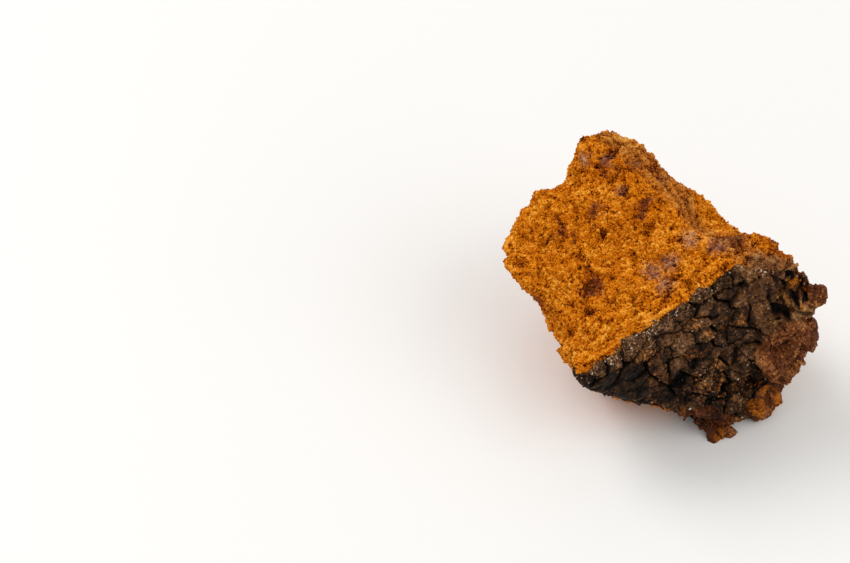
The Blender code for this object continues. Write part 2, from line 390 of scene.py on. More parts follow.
# %% Raise each point of a mesh
def raise_surface(obj, relief):
    """Moves each point by its height from relief() and into the hollows, and returns what to keep."""
    places, normals = corners_of(obj.data), corner_normals(obj.data)
    shifts = np.zeros_like(places)
    for hollow, way in zip(HOLLOWS, hollow_ways):
        shifts -= hollow[-1] * shares_near(places, hollow) * way
    kept = []
    for vertex, facing, shift in zip(obj.data.vertices, normals, shifts):
        height, *values = relief(vertex.co.copy())
        vertex.co += Vector(facing) * height + Vector(shift)
        kept.append((vertex.co.copy(), values))
    return kept


print("deepest hollow:", max(hollow[-1] for hollow in HOLLOWS), "mm")

# %% [markdown]
# ## Fewer triangles where nobody looks
# These meshes have more triangles than they need. The Decimate modifier merges the smallest edges first,
# and a vertex group tells it where to take more. Each point that is left then takes the values of the
# nearest place that was kept.

# %% Carve a piece
PIECE_TRIANGLES, MOST_SPARED = 196000, 0.97


def triangles(obj):
    """How many triangles the object's faces come to."""
    return sum(len(face.vertices) - 2 for face in obj.data.polygons)


def remember(mesh, name, values):
    """Writes a value for each point on the mesh, under this name."""
    mesh.attributes.new(name, "FLOAT", "POINT").data.foreach_set("value", values)


def carve(obj, relief, names):
    """Gives a piece its relief and its budget of triangles, cuts it flat, and keeps its values."""
    kept = raise_surface(obj, relief)
    group = obj.vertex_groups.new(name="thin here")
    for index, (_, values) in enumerate(kept):
        group.add([index], 1.0 - MOST_SPARED * values[names.index("spared")], "REPLACE")
    ratio = min(1.0, PIECE_TRIANGLES / (2.0 * len(obj.data.polygons)))
    modify(obj, "DECIMATE", ratio=ratio, vertex_group=group.name, vertex_group_factor=1.0)
    obj.vertex_groups.clear()
    slice_off(obj, (0.0, 0.0, 0.0), (0.0, 0.0, -1.0))
    tree = tree_of([place for place, _ in kept])
    nearest = [tree.find(v.co)[1] for v in obj.data.vertices]
    for column, name in enumerate(names):
        remember(obj.data, name, [kept[i][1][column] for i in nearest])
    print(obj.name + ":", triangles(obj), "triangles")


print("budget of a piece:", PIECE_TRIANGLES, "triangles")

# %% [markdown]
# ## Chips and streaks
# Hard stuff breaks in flat facets. A cell noise gives the four nearest points of a random pattern. A plane
# through each of them is tilted its own way, and the lowest plane wins. Where the axe slid along, it left
# streaks: a noise drawn out in one direction.

# %% Heights that look chipped, and noise that looks combed
TILT_PICK, MEAN_DROP = 7.3, 0.48  # where a tilt is looked up, and how low facets lie on average


def chips(point, size, steepness):
    """Flat facets of about this size, in millimetres, that rise and fall about 0."""
    scaled = point / size
    planes = []
    for spot in noise.voronoi(scaled)[1]:
        tilt = noise.cell_vector(spot * TILT_PICK) * 2.0 - Vector((1.0, 1.0, 1.0))
        planes.append((scaled - spot).dot(tilt))
    return size * steepness * (min(planes) + MEAN_DROP)


def streaks(point, way, stretch, width):
    """A noise of this width, drawn out along one way."""
    return noise.noise((point - way * (point.dot(way) * (1.0 - 1.0 / stretch))) / width)


print("a chip:", round(chips(Vector((0.0, 0.0, 30.0)), 7.0, 0.18), 2), "mm high")

# %% [markdown]
# ## Stains and painted shade
# The flesh isn't one orange: mauve flecks gather in places, others are dark brown, and the ridge over the
# crust dried to tan. Fresh breaks in the crust are orange, and flesh dust lies golden on it. The crust
# also gets painted shade where it lies in shade: low on the left, in a cave and on the foot. A place and a
# reach are enough, and the materials break them up.

# %% Stains and painted shade: x, y, z and how far it reaches, in millimetres
STAINS_AND_SHADE = {
    "mauve": (
        (5.7, -5.2, 48.2, 6), (0.7, -10, 44.6, 6), (-3.5, -11, 42.2, 6.5), (-0.7, -15.1, 41.8, 6),
        (-10.3, 9, 50.9, 4), (-18.7, 19.2, 51.8, 5), (-13.1, 18.2, 53.3, 4), (12, -8, 48, 6),
        (30, 0, 34, 8), (2, 28, 38, 9), (-28, 6, 30, 8), (-14, -22, 15, 6), (22, 12, 30, 5),
        (-3, 30, 22, 5.5), (-14, 28, 42, 5.5), (-28, 7, 22, 5),
    ),
    "dark": (
        (-15.6, 15.2, 51.3, 5.5), (-7.8, 15.9, 53.7, 6.5), (-3.8, 5.2, 49.4, 5), (-16.2, 5.6, 47.3, 5),
        (12.2, -8.6, 48, 5), (-24.8, 2, 43.2, 6), (-18, -13, 38.9, 6), (-5.9, 2.9, 48.2, 4),
        (27.9, -8.8, 45.8, 8), (24.7, -11, 46.4, 6), (0, 12, 52.5, 6), (16, -6, 48.5, 6), (31, 8, 18, 11),
        (14, 26, 26, 10), (-8, 30, 12, 11), (-27, 8, 14, 12), (-16, -12, 14, 9), (-30, -8, 30, 6),
        (18, 20, 12, 5.5), (15, 16, 34, 5.5), (2, 25, 31, 6), (-9, 30, 26, 5.5), (-19, 26, 33, 5),
        (-25, 17, 25, 6), (-33, 8, 36, 5), (-29, -3, 22, 5.5), (2, 33, 12, 5), (27, 10, 27, 5.5),
    ),
    "tan": (
        (21.8, -11.6, 45.6, 6), (25.2, -12, 45, 6), (29.6, -11.4, 43.2, 5),
    ),
    "orange": (
        (31.5, -12, 40.8, 3.2), (27.5, -20.6, 9.2, 3.5), (24.9, -22.3, 5.8, 4), (15.1, -27.2, 1.1, 2.6),
        (16.8, -25.5, 5.8, 1.8), (30.5, -18, 4, 5),
    ),
    "golden": (
        (19, -21.1, 10.6, 4), (21.3, -21.2, 12.5, 3.5), (10.2, -25.1, 15, 4.5), (9.2, -24.5, 17.4, 3.5),
        (14.5, -23.5, 14.5, 6), (10.5, -20.7, 30.5, 3), (-4.3, -27.1, 29.9, 5), (19, -17.8, 32.1, 3),
        (10.1, -21.6, 26.1, 3), (14.4, -19.8, 31.7, 4), (24.4, -13.8, 35.3, 3), (-1.3, -28, 21.9, 4),
        (6.1, -23.3, 25.9, 4), (6.6, -21.2, 34.9, 4), (-6.8, -28, 29.8, 4), (18.9, -21.8, 10.6, 6),
        (14.1, -21.8, 20.6, 4), (4.7, -26.5, 15.9, 3), (31, -11.8, 40.4, 3),
    ),
    # Painted shade: darker places where the crust lies in shade, low on the left, in a cave and on the
    # foot.
    "sooty": (
        (-20, -33, 22, 11), (-8, -30.5, 19, 9), (3.5, -27, 17, 8), (24.6, -22.3, 12.6, 3.5),
        (6.7, -23.9, 24, 3.5), (20.5, -17, 24, 4), (28.4, -13.3, 33.1, 3.5), (-15, -33, 25, 8),
        (-8.6, -29.6, 25.9, 6), (10.5, -28.3, 5, 9), (14, -21.4, 17.5, 4), (7.2, -25.5, 17, 3.5),
        (2, -26.5, 18, 5),
    ),
}
print("stains:", {name: len(spots) for name, spots in STAINS_AND_SHADE.items()})

# %% [markdown]
# ## The relief of the flesh
# The broken flesh is cork-like: packed grains of half a millimetre to a millimetre, with pits between. A
# cell noise is lowest in the middle of each cell. Turned over, each cell is a little dome, like a grain.
# Under the crust the flesh sinks out of the way.

# %% Sizes of the flesh's relief, in millimetres
FLESH_WAVES = ((14.0, 0.8), (6.0, 0.6))  # how long, how high
FLESH_CHIPS = ((7.0, 0.18), (2.6, 0.24))  # how long, how steep
GRAINS = ((1.6, 0.12), (0.9, 0.2))  # how wide, how high
PITS = ((3.3, 0.2, 0.8), (1.4, 0.26, 0.45))  # how wide, the noise at which a pit starts, how deep
PIT_BOTTOM = 0.7  # the noise at which a pit is at its deepest
CUT_EDGE, CUT_WAY = Vector((4.5, 6.0, 52.5)), Vector((0.645, -0.742, -0.18)).normalized()
CUT_STREAKS, EDGE_STREAKS = (9.0, 0.8), (6.0, 1.0)  # times longer than wide, how wide
CUT_BAND, EDGE_BAND, STREAK_HEIGHT = (2.0, 6.5), (-7.0, -1.0), 0.45
COVERED_FROM, UNDER_CRUST = (-0.1, 1.0), 2.4  # below the crust's edge, and how deep under it
CUT_TAN = 0.4
SEEN_FLESH, FRONT_SHARE, FRONT_AT = (22.0, 34.0), 0.35, 15.0

print("deepest pit:", sum(depth for _, _, depth in PITS), "mm")

# %% [markdown]
# ## The flesh
# The flesh is a copy of the rough chunk, remeshed finely, because voxels of one size suit even grains. The
# layers are added up for one point at a time. The values follow the relief exactly, as no picture would.
# The one named `spared` is high where the camera sees well.

# %% Relief of the flesh
FLESH_VOXEL = 0.27
FLESH_VALUES = ("pit", "mauve", "dark", "tan", "spared", "covered")


def flesh_relief(point):
    """The flesh's height, and what to remember there."""
    _, down, in_front = crust_place(point)
    covered = ramp(*COVERED_FROM, down) * ramp(0.0, BACK_LAP, in_front)
    if covered == 1.0:
        return (-UNDER_CRUST, 1.0, 0.0, 0.0, 0.0, 0.0, covered)
    grain = sum(height * noise.noise(point / size, noise_basis="VORONOI_F1") for size, height in GRAINS)
    pits = [ramp(start, PIT_BOTTOM, noise.noise(point / size)) for size, start, _ in PITS]
    from_cut = (point - CUT_EDGE) - CUT_WAY * (point - CUT_EDGE).dot(CUT_WAY)
    beside_cut = 1.0 - ramp(*CUT_BAND, from_cut.length)
    streak = beside_cut * streaks(point, CUT_WAY, *CUT_STREAKS)
    streak += ramp(*EDGE_BAND, down) * streaks(point, ALONG, *EDGE_STREAKS)
    height = waves(point, FLESH_WAVES) + sum(chips(point, size, steep) for size, steep in FLESH_CHIPS)
    height += STREAK_HEIGHT * streak - grain - sum(depth * pit for (_, _, depth), pit in zip(PITS, pits))
    height = (1.0 - covered) * height - UNDER_CRUST * covered
    # pit is how low the surface lies. The material darkens pits with it as painted shade, and lightens
    # grain tops and streaks as painted light.
    pit = min(1.0, max(0.0, 0.3 + 0.5 * max(pits) + 0.8 * grain - 0.6 * streak))
    mauve, dark, tan = [nearness(point, STAINS_AND_SHADE[name]) for name in ("mauve", "dark", "tan")]
    spared = ramp(*SEEN_FLESH, point.z + FRONT_SHARE * (FRONT_AT - point.y))
    return (height, pit, mauve, dark, max(tan, CUT_TAN * beside_cut), spared, covered)


flesh = duplicate(rough, "flesh")
modify(flesh, "REMESH", mode="VOXEL", voxel_size=FLESH_VOXEL)
carve(flesh, flesh_relief, FLESH_VALUES)

# %% [markdown]
# ## The crust's slab
# The crust is a piece of its own, because its cracks need a finer mesh. Three planes cut it out of a copy
# of the rough chunk, some way behind its front, where it isn't seen. The rough chunk is removed then,
# because all that is left in the scene is taken for a piece.

# %% Cut the crust's slab out of a copy
CRUST_VOXEL = 0.18
TUCKED_IN = 1.6  # how far the slab goes on above its own edge

crust = duplicate(rough, "crust")
slice_off(crust, EDGE_POINT - DOWN * TUCKED_IN, -DOWN)
slice_off(crust, EDGE_POINT + ALONG * BEND_AT - DOWN * TUCKED_IN, ALONG * BEND_SLOPE - DOWN)
slice_off(crust, EDGE_POINT - OUT * (CRUST_REACH_BACK + BACK_LAP), -OUT)
modify(crust, "REMESH", mode="VOXEL", voxel_size=CRUST_VOXEL)
bpy.data.objects.remove(rough)
print("crust slab:", 2 * len(crust.data.polygons), "triangles")

# %% [markdown]
# ## Kinds of crust
# Most of the crust is plates. At the right end it has torn across. In some places whole pieces are gone,
# which leaves smooth brown lobes. Low down, the plates have crumbled into blocks. Each kind is a share
# from 0 to 1 at every point.

# %% Where the crust is bare, torn, plated, rough by its edge, or low
BARE_PLACES = (
    (31.5, -16, 21, 9.5), (28, -18, 6, 7.5), (36.5, -13, 38, 4.5), (10, -28.5, 4.5, 7.5),
    (17.5, -26, 2.5, 4),
)
BARE_RAMP = 1.2
TORN_FROM, TORN_LEAN, TORN_OFF = (19.0, 26.0), 0.2, 0.6
EDGE_ENDS, EDGE_STARTS, LOW_FROM = (4.5, 0.5), (-0.6, 0.2), (15.0, 22.0)


def kinds_of_crust(point, place, down):
    """How bare, torn and plated the crust is here, how near its top edge is, and how low down it is."""
    bare = max(ramp(0.0, BARE_RAMP, reach - (point - Vector(centre)).length)
               for *centre, reach in BARE_PLACES)
    torn = (1.0 - bare) * ramp(*TORN_FROM, place.x + TORN_LEAN * place.y)
    plated = (1.0 - bare) * (1.0 - TORN_OFF * torn)
    by_edge = ramp(*EDGE_ENDS, down) * ramp(*EDGE_STARTS, down)
    return bare, torn, plated, by_edge, ramp(*LOW_FROM, down)


print("bare places:", len(BARE_PLACES))

# %% [markdown]
# ## Cracks
# Cracks between blocks of plates gape by half a millimetre, and those inside a block are hairs. Finer ones
# part the crumbled crust into blocks of 2 to 4 mm. They are the rims of a cell noise, which is quicker
# than seeds, but can't keep plates together.

# %% How deep in a crack a point is
CRACK_WIDTH, CRACK_WAVES = (0.16, 0.44), ((7.0, 0.16),)  # of any crack, and what a full one adds
CRACK_FLOOR, LEAST_WIDTH, RIM_WIDTH = 0.05, 0.2, 1.6
SMALL_BLOCK, GROOVE_WIDTH = 4.3, 0.13  # in millimetres, and as a share of the noise
CRUMBLED, CRUMBLED_LOW = 0.12, 0.6


def cracks_at(point, wandered, low):
    """How deep in a crack and in a groove a point is, how near a crack's rim, and its plate."""
    distance, strength, plate = nearest_crack(wandered)
    width = CRACK_WIDTH[0] + CRACK_WIDTH[1] * strength + waves(point, CRACK_WAVES)
    crack = strength * (1.0 - ramp(CRACK_FLOOR, max(LEAST_WIDTH, width), distance))
    block_rim = 0.5 + 0.5 * noise.noise(wandered / SMALL_BLOCK, noise_basis="VORONOI_F2F1")
    groove = (CRUMBLED + CRUMBLED_LOW * low) * (1.0 - ramp(0.0, GROOVE_WIDTH, block_rim))
    return crack, groove, 1.0 - ramp(width, width + RIM_WIDTH, distance), plate


print("a full crack's half width:", round(sum(CRACK_WIDTH), 2), "mm")

# %% [markdown]
# ## Ridges and slots
# The torn end has ledges and deep gaps that no noise would put in the right place. Each is a straight line
# with a half width and a height or depth. Between them, fine ridges run down to the right: streaks, folded
# at 0 so that they get sharp crests.

# %% Ridges and slots: a start, an end, a half width, and a height or depth
RIDGES = (
    ((29.8, -11.3, 42), (33.8, -15.2, 34.4), 1.2, 1.6), ((29.2, -11.9, 36.6), (27.3, -12.8, 34.6), 1, 1.2),
    ((27.3, -12.8, 34.6), (23.9, -14.2, 35.1), 1, 1.2),
    ((29.6, -12.8, 35.8), (33.2, -14.2, 29.4), 1.1, 1.4),
    ((20.9, -12.6, 45.8), (25.8, -12.6, 45.2), 1.1, 0.7),
    ((25.8, -12.6, 45.2), (31.4, -10.2, 42.1), 1.1, 0.7),
    ((17.1, -16.4, 39.4), (19.6, -14.1, 40.5), 1.2, 0.8), ((35, -13, 40.5), (38, -14.6, 36), 1.2, 0.4),
    ((32.2, -18.6, 28), (34.6, -17, 14), 2, 0.9), ((26, -20.8, 24), (28.5, -20.6, 14), 2, 0.7),
)
SLOTS = (
    ((24.8, -12.8, 45), (25.7, -12, 41.1), 0.5, 1.6), ((27.4, -11.6, 42.8), (27.7, -11.6, 40.8), 0.7, 1.2),
    ((29, -11.3, 44.2), (28.7, -12.1, 41.9), 0.8, 1.5), ((33, -12.7, 39.8), (34.2, -14.8, 36.4), 1, 1.8),
    ((29, -13, 34.9), (26.7, -13.5, 33.6), 1.2, 1.3), ((23.5, -19, 21.2), (24, -20.3, 17.8), 0.8, 1.2),
    ((17.5, -14.9, 41.6), (19.4, -13.8, 41.3), 0.8, 1),
    ((15.8, -21.9, 14.1), (16.2, -24.7, 11.6), 0.9, 1.2), ((11, -26.6, 12.6), (14.6, -25.8, 11.7), 0.8, 1),
    ((4.6, -24.9, 18.4), (2, -26.5, 18), 2.4, 2), ((7.4, -23.8, 24.2), (7.2, -24.5, 22), 1, 1.2),
)
SLOT_FLOOR = 0.4  # the share of a slot's width that is flat
RIDGE_WAY, FINE_RIDGES = Vector((0.42, -0.09, -0.90)).normalized(), (5.0, 2.0)
RIDGE_TOP, RIDGE_FALL = 0.6, 2.4


def to_line(point, start, end):
    """The distance to the straight line between two points."""
    line = Vector(end) - Vector(start)
    share = min(1.0, max(0.0, (point - Vector(start)).dot(line) / line.dot(line)))
    return (point - Vector(start) - line * share).length


def ledges_at(point):
    """How high a placed ridge is here, how deep a slot is, and the height of the fine ridges."""
    crest = max(height * max(0.0, 1.0 - to_line(point, start, end) / width)
                for start, end, width, height in RIDGES)
    slot = max(depth * (1.0 - ramp(SLOT_FLOOR * width, width, to_line(point, start, end)))
               for start, end, width, depth in SLOTS)
    return crest, slot, RIDGE_TOP - RIDGE_FALL * abs(streaks(point, RIDGE_WAY, *FINE_RIDGES))


print("ridges:", len(RIDGES), "and slots:", len(SLOTS))

# %% [markdown]
# ## The relief of the crust
# Each plate has its level and tilt, and cracks cut into it. Broken places get large facets, and everything
# gets small ones and a fine roughness. At its edges the crust dips under the flesh, so that no gap shows.
# Points that are never seen are done with at once.

# %% Relief of the crust, in millimetres
CRUST_WAVES, LOW_WAVES = ((9.0, 0.7), (3.2, 0.2)), ((4.5, 0.9),)
ROUGHNESS_WAVES = ((1.3, 0.18), (0.7, 0.14), (0.42, 0.09))
LARGE_FACET, SMALL_FACET = 6.5, 2.8
PLATE_TILT, CRACK_DEPTH, GROOVE_DEPTH, TORN_HEIGHT = 1.5, 1.3, 0.6, 0.6
FOOTING = (0.5, 3.0)  # cracks fade out just above the table
FLESH_LAP, HIDDEN_DROP, TUCKED_FROM = 1.2, -1.5, (-0.6, 0.6)
SEEN_FRONT, SEEN_BEND, SEEN_EDGE = (-7.0, -3.0), (0.2, 10.0), (-1.4, -0.6)
CRUST_VALUES = ("crack", "plate", "bare", "torn", "by_edge", "rim", "orange", "golden", "tan", "sooty",
                "ridge", "crest", "spared")


def crust_relief(point):
    """The crust's height, and what to remember there."""
    place, down, in_front = crust_place(point)
    tucked = max(1.0 - ramp(*TUCKED_FROM, down), 1.0 - ramp(0.0, BACK_LAP, in_front))
    if tucked == 1.0:
        return (-FLESH_LAP - ramp(0.0, HIDDEN_DROP, in_front),) + (0.0,) * len(CRUST_VALUES)
    bare, torn, plated, by_edge, low = kinds_of_crust(point, place, down)
    wandered = place + wander(point)
    crack, groove, rim, plate = cracks_at(point, wandered, low)
    crest, slot, ridge = ledges_at(point)
    footing = ramp(*FOOTING, point.z)
    level, tilt = levels[plate], PLATE_TILT * tilts[plate].dot(in_plates(wandered) - seeds[plate])

    height = waves(point, CRUST_WAVES) + low * waves(point, LOW_WAVES) + crest - slot
    height += TORN_HEIGHT * torn * ridge
    height += chips(point, LARGE_FACET, 0.6 * bare + 0.18 * low + 0.15 * torn)
    height += chips(point, SMALL_FACET, 0.16 + 0.1 * torn + 0.12 * bare + 0.08 * low)
    height += plated * (level + tilt - CRACK_DEPTH * crack * footing - GROOVE_DEPTH * groove * footing)
    height += waves(point, ROUGHNESS_WAVES) * (0.3 + 0.8 * by_edge + 0.5 * torn)

    # Painted shade: dark is near-black for cracks, grooves, slots and the troughs between the torn end's
    # fine ridges. It is kept under the name crack.
    dark = min(1.0, max(plated * crack, 0.75 * plated * groove, 0.8 * slot,
                        0.6 * torn * ramp(-0.1, -0.6, ridge)))
    stains_and_shade = [nearness(point, STAINS_AND_SHADE[name]) for name in ("orange", "golden", "tan", "sooty")]
    spared = ramp(*SEEN_FRONT, place.z + SEEN_BEND[0] * max(0.0, place.x - SEEN_BEND[1]))
    spared *= ramp(*SEEN_EDGE, down)
    return (height - FLESH_LAP * tucked, dark, level / PLATE_LEVEL * 0.5 + 0.5, bare, torn, by_edge,
            plated * rim, *stains_and_shade, max(0.0, 0.5 + 0.6 * ridge), crest, spared)


carve(crust, crust_relief, CRUST_VALUES)

# %% [markdown]
# ## Crumbs
# A fresh break is covered with loose grains that the axe tore free. Particles could scatter them, but an
# exported model needs real meshes. So three crumbs are modelled, each a ball of 20 faces with its corners
# pushed about, and thousands of copies are made.

# %% Model three crumbs
CRUMB_SHAPE, CRUMB_DENTS = (1.15, 0.95, 0.8), 0.16


def crumb(number):
    """The corners and faces of one angular crumb, about 1 across."""
    bpy.ops.object.select_all(action="DESELECT")
    bpy.ops.mesh.primitive_ico_sphere_add(subdivisions=1, radius=0.5)
    obj = bpy.context.active_object
    edit(obj, bpy.ops.transform.vertex_random, offset=CRUMB_DENTS, seed=number)
    edit(obj, bpy.ops.transform.resize, value=CRUMB_SHAPE)
    shape = corners_of(obj.data), np.array([f.vertices[:] for f in obj.data.polygons])
    bpy.data.objects.remove(obj)
    return shape


crumbs = [crumb(number) for number in (1, 2, 3)]
print("crumbs:", [len(faces) for _, faces in crumbs], "faces each")

# %% [markdown]
# ## Scattering
# A spot for a crumb is a random place in a random triangle. Large triangles are chosen more often, or
# crumbs would crowd where the mesh is fine, and a value weighs their chance too. The copies, of many
# sizes and turned at random, are half sunk into the surface and put in one mesh. Each takes over what the
# surface remembers under it, for the same stains, and gets a tone of its own.

# %% Choose spots, and scatter crumbs over a piece
WIDTH_SPREAD = 0.35


def value_at(mesh, name):
    """What each point of the mesh remembers under this name."""
    return numbers_of(mesh.attributes[name].data, "value", 1)[:, 0]


def choose_spots(mesh, count, wanted, dice):
    """Random spots on the mesh, and for each the number of a point beside it."""
    mesh.calc_loop_triangles()
    faces, places = numbers_of(mesh.loop_triangles, "vertices", 3, np.int32), corners_of(mesh)
    slopes = np.cross(places[faces[:, 1]] - places[faces[:, 0]], places[faces[:, 2]] - places[faces[:, 0]])
    chances = np.linalg.norm(slopes, axis=1) * wanted[faces].mean(axis=1)
    chosen = dice.choice(len(faces), size=count, p=chances / chances.sum())
    mix = dice.dirichlet((1.0, 1.0, 1.0), size=count)[:, :, None]
    return (places[faces[chosen]] * mix).sum(axis=1), faces[chosen, 0]


def scatter(name, ground, count, middle, largest, wanted, start):
    """Copies of the crumbs, of these widths in millimetres, sunk in the ground where wanted."""
    dice = np.random.default_rng(start)
    spots, beside = choose_spots(ground.data, count, wanted, dice)
    widths = np.clip(dice.lognormal(np.log(middle), WIDTH_SPREAD, count), middle / 2.0, largest)
    turns = dice.normal(size=(count, 4))
    turns /= np.linalg.norm(turns, axis=1, keepdims=True)

    places, faces = [], []
    for number, (spot, width, turn) in enumerate(zip(spots, widths, turns)):
        shape, shape_faces = crumbs[number % 3]
        places.append(shape @ np.array(Quaternion(turn).to_matrix()) * width + spot)
        faces.append(shape_faces + number * len(shape))
    made = bpy.data.meshes.new(name)
    made.from_pydata(np.concatenate(places), [], np.concatenate(faces))
    for value_name in [a.name for a in ground.data.attributes if a.data_type == "FLOAT"]:
        remember(made, value_name, np.repeat(value_at(ground.data, value_name)[beside], len(shape)))
    remember(made, "tone", np.repeat(dice.random(count), len(shape)))
    return link(name, made)


print("spread of crumb widths:", WIDTH_SPREAD)

# %% [markdown]
# ## Loose grains of flesh and crust
# The flesh gets fine crumbs where the camera sees it and coarser ones elsewhere, and none near the table.
# The crust sheds fewer. They gather under its top edge, on the tan ledge, and in the golden dust.

# %% Scatter the crumbs
flesh_places, crust_places = corners_of(flesh.data), corners_of(crust.data)
bare_flesh = (1.0 - value_at(flesh.data, "covered")) * np.clip(flesh_places[:, 2] - 1.0, 0.0, 1.0)
seen = value_at(flesh.data, "spared")
top_crumbs = scatter("top_crumbs", flesh, 9500, 0.48, 1.1, bare_flesh * seen ** 2, 5)
side_crumbs = scatter("side_crumbs", flesh, 9500, 0.62, 1.2, bare_flesh * (1.02 - seen), 6)
by_edge, tan, golden = [value_at(crust.data, name) for name in ("by_edge", "tan", "golden")]
crusty = value_at(crust.data, "spared") * np.clip(crust_places[:, 2] - 1.0, 0.0, 1.0)
crusty *= 0.12 + by_edge + tan + 0.2 * golden
crust_crumbs = scatter("crust_crumbs", crust, 9000, 0.4, 0.8, crusty, 7)
pieces = (flesh, crust, top_crumbs, side_crumbs, crust_crumbs)
print({piece.name: triangles(piece) for piece in pieces})

# %% [markdown]
# ## Real size and real place
# The pieces are shrunk to metres and moved to the solid's place. Applying the transform puts this in
# their meshes, so that each object sits at the origin unturned. Shade Smooth suits flesh and crust, and
# the crumbs keep their facets. Each piece then says which body it rides on.

# %% Shrink the pieces to their real size, in the solid's place
MIDDLE = Vector((-0.63, 0.06, 0.0))  # the middle of the rough chunk's foot, in millimetres

for piece in pieces:
    only(piece)
    piece.location = -MIDDLE * MM
    piece.scale = (MM, MM, MM)
    bpy.ops.object.transform_apply(location=True, rotation=False, scale=True)
    if piece in (flesh, crust):
        bpy.ops.object.shade_smooth()
    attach(piece, "root")
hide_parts("chaga_chunk")
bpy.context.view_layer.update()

# %% [markdown]
# ## Materials from nodes
# A material is a net of nodes, which could be drawn by hand. In code, one small function adds a node with
# its settings and links. Colours are sRGB hex values, as a colour picker shows them, and one function
# turns them into the linear numbers that light follows.

# %% A helper for colours, and two for nodes
def linear(colour):
    """An sRGB hex colour as the linear numbers that shaders use."""
    parts = [int(colour[i:i + 2], 16) / 255.0 for i in (0, 2, 4)]
    return [p / 12.92 if p <= 0.04045 else ((p + 0.055) / 1.055) ** 2.4 for p in parts] + [1.0]


def connect(tree, node, inputs):
    """Gives each of these inputs a value, or a link from another node's output."""
    named = {socket.name: socket for socket in reversed(node.inputs) if socket.enabled}
    for name, value in inputs.items():
        socket = node.inputs[name] if isinstance(name, int) else named[name]
        if isinstance(value, bpy.types.Node):
            tree.links.new(next(out for out in value.outputs if out.enabled), socket)
        else:
            socket.default_value = value


def add(tree, kind, inputs, stops=(), **settings):
    """Adds a node with its settings and inputs. The stops are the colours of a colour ramp."""
    node = tree.nodes.new("ShaderNode" + kind)
    for name, value in settings.items():
        setattr(node, name, value)
    if stops:
        tones = node.color_ramp.elements
        tones.remove(tones[1])
        tones[0].position, tones[0].color = stops[0][0], linear(stops[0][1])
        for position, colour in stops[1:]:
            tones.new(position).color = linear(colour)
    connect(tree, node, inputs)
    return node


print("chaga's orange:", [round(v, 3) for v in linear("bc6004")])

# %% [markdown]
# ## Patterns in millimetres
# Patterns read Object coordinates, in metres, so a Mapping node turns them to millimetres first. Then a
# pattern's scale is 1 divided by its real size. Natural stuff never has one colour: a tone is a sum of
# layers of many sizes, and a ramp turns it into colour.

# %% Start a material, add up layers, and lay one colour over another
PATTERN_ROUGHNESS = 0.65
BUMP_STRENGTH, BUMP_HEIGHT = 0.8, 0.3 * MM


def new_material(name, patterns, remembered):
    """A material, its node tree, and its patterns and remembered values by name."""
    material = bpy.data.materials.new(name)
    material.use_nodes = True
    tree = material.node_tree
    place = tree.nodes.new("ShaderNodeTexCoord")
    millimetres = add(tree, "Mapping", {"Scale": (1.0 / MM, 1.0 / MM, 1.0 / MM)})
    tree.links.new(place.outputs["Object"], millimetres.inputs["Vector"])
    made = {pattern: add(tree, "TexNoise", {"Vector": millimetres, "Scale": 1 / size, "Detail": detail,
                                            "Roughness": PATTERN_ROUGHNESS})
            for pattern, (size, detail) in patterns.items()}
    made.update({value: add(tree, "Attribute", {}, attribute_name=value) for value in remembered})
    return material, tree, made


def weigh(tree, made, total, **weights):
    """The total, plus each layer's distance from 0.5 times its weight."""
    for name, weight in weights.items():
        offset = add(tree, "Math", {0: made[name], 1: 0.5}, operation="SUBTRACT")
        total = add(tree, "Math", {0: offset, 1: weight, 2: total}, operation="MULTIPLY_ADD")
    return total


def tint(tree, made, colour, layers):
    """Lays other colours over one, each with a value that says where it lies and three tones."""
    for where, low, high, *tones in layers:
        share = add(tree, "MapRange", {"Value": made[where], "From Min": low, "From Max": high})
        other = add(tree, "ValToRGB", {"Fac": made["value"]}, stops=list(zip((0.0, 0.5, 1.0), tones)))
        colour = add(tree, "Mix", {"Factor": share, "A": colour, "B": other}, data_type="RGBA")
    return colour


def finish(tree, colour, relief, roughness, specular):
    """Links colour and relief to the shader, with a bump for grains too fine for the mesh."""
    bump = add(tree, "Bump", {"Height": relief, "Strength": BUMP_STRENGTH, "Distance": BUMP_HEIGHT})
    connect(tree, tree.nodes["Principled BSDF"], {"Base Color": colour, "Normal": bump, "IOR": 1.5,
                                                  "Roughness": roughness, "Specular IOR Level": specular})


print("a pattern 2 mm wide has the scale", 1 / 2)

# %% [markdown]
# ## Fungus cork
# The flesh is cork-like: tiny cells with air in them, torn open by the axe. So it scatters light and has
# no gloss, and the eye reads it as a fine speckle. Like cork it is no metal, with an IOR of 1.5 and a
# roughness of 0.9. Torn cells trap most reflections, so its specular level is nearly 0, and a higher one
# would grey the orange. Its patches are 8 mm wide, its blots 2.6 mm and its grains 0.8 mm. Its cells are
# some 0.02 mm, too fine to show, so the finest stipple is drawn as coarse as 0.42 mm.

# %% The flesh's material
CORK_PATTERNS = {"patches": (8.0, 3.0), "blots": (2.6, 4.0), "grains": (0.8, 2.0), "stipple": (0.42, 1.0),
                 "spots": (3.6, 3.0), "flecks": (1.4, 2.0)}  # how wide, how detailed


